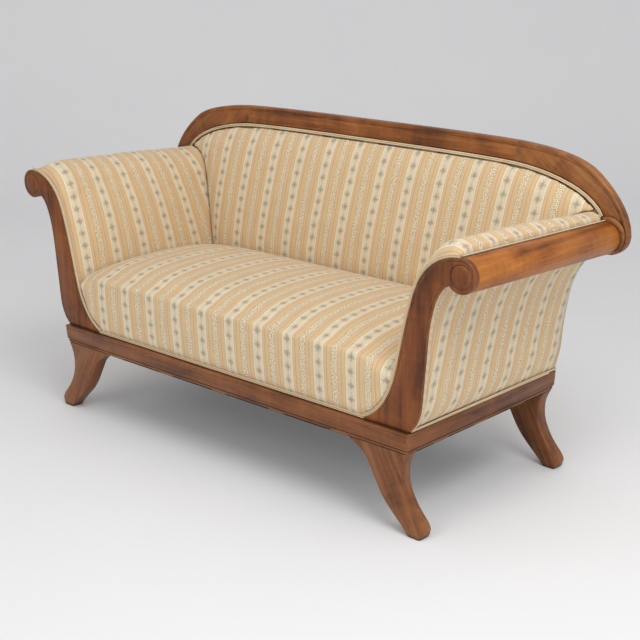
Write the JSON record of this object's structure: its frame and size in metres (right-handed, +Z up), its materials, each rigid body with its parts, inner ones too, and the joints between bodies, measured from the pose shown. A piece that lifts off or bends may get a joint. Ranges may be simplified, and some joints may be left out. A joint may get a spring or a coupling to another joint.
{
  "type": "scroll-arm settee",
  "caption": "Long settee with outward scroll arms, a high upholstered back under a curved crest rail, a sprung striped seat and splayed scroll legs.",
  "frame": {"origin": "floor level under the centre of the settee's bounding box", "axes": "+X along the settee to the viewer's right from the front, +Y from the front to the back, +Z up"},
  "size_m": [1.894, 0.7288, 0.963],
  "materials": {
    "show_wood": "satin",
    "frame_wood": "matte",
    "brocade": "woven stripe",
    "gimp": "corded",
    "jute": "coarse weave",
    "spring_steel": "dull",
    "lining": "matte weave"
  },
  "bodies": {
    "root": {"front_rail": "show_wood", "back_rail": "show_wood", "right_side_rail": "show_wood", "left_side_rail": "show_wood", "front_right_leg": "show_wood", "front_left_leg": "show_wood", "rear_right_leg": "show_wood", "rear_left_leg": "show_wood", "front_right_corner_block": "frame_wood", "front_left_corner_block": "frame_wood", "rear_right_corner_block": "frame_wood", "rear_left_corner_block": "frame_wood", "right_arm_facing": "show_wood", "left_arm_facing": "show_wood", "right_scroll_boss": "show_wood", "left_scroll_boss": "show_wood", "right_front_arm_post": "frame_wood", "left_front_arm_post": "frame_wood", "right_arm_roll": "show_wood", "left_arm_roll": "show_wood", "right_inside_arm_pad": "brocade", "left_inside_arm_pad": "brocade", "right_outside_arm_panel": "brocade", "left_outside_arm_panel": "brocade", "right_arm_tacking_rail": "frame_wood", "left_arm_tacking_rail": "frame_wood", "crest_centre": "show_wood", "right_crest_side": "show_wood", "left_crest_side": "show_wood", "right_crest_spline": "frame_wood", "left_crest_spline": "frame_wood", "right_crest_collar": "show_wood", "left_crest_collar": "show_wood", "right_back_post": "frame_wood", "left_back_post": "frame_wood", "right_back_wing": "frame_wood", "left_back_wing": "frame_wood", "back_tacking_rail": "frame_wood", "back_upright": "frame_wood", "back_webbing": "jute", "outside_back_panel": "brocade", "inside_back_pad": "brocade", "seat_pad": "brocade", "right_facing_piping": "gimp", "left_facing_piping": "gimp", "right_arm_roll_piping": "gimp", "left_arm_roll_piping": "gimp", "right_outside_arm_piping": "gimp", "left_outside_arm_piping": "gimp", "back_piping": "gimp", "seat_piping": "gimp", "seat_webbing": "jute", "spring_row_1": "spring_steel", "spring_row_2": "spring_steel", "spring_row_3": "spring_steel", "spring_row_4": "spring_steel", "spring_row_5": "spring_steel", "seat_hessian": "jute", "dust_cover": "lining"}
  },
  "joints": []
}
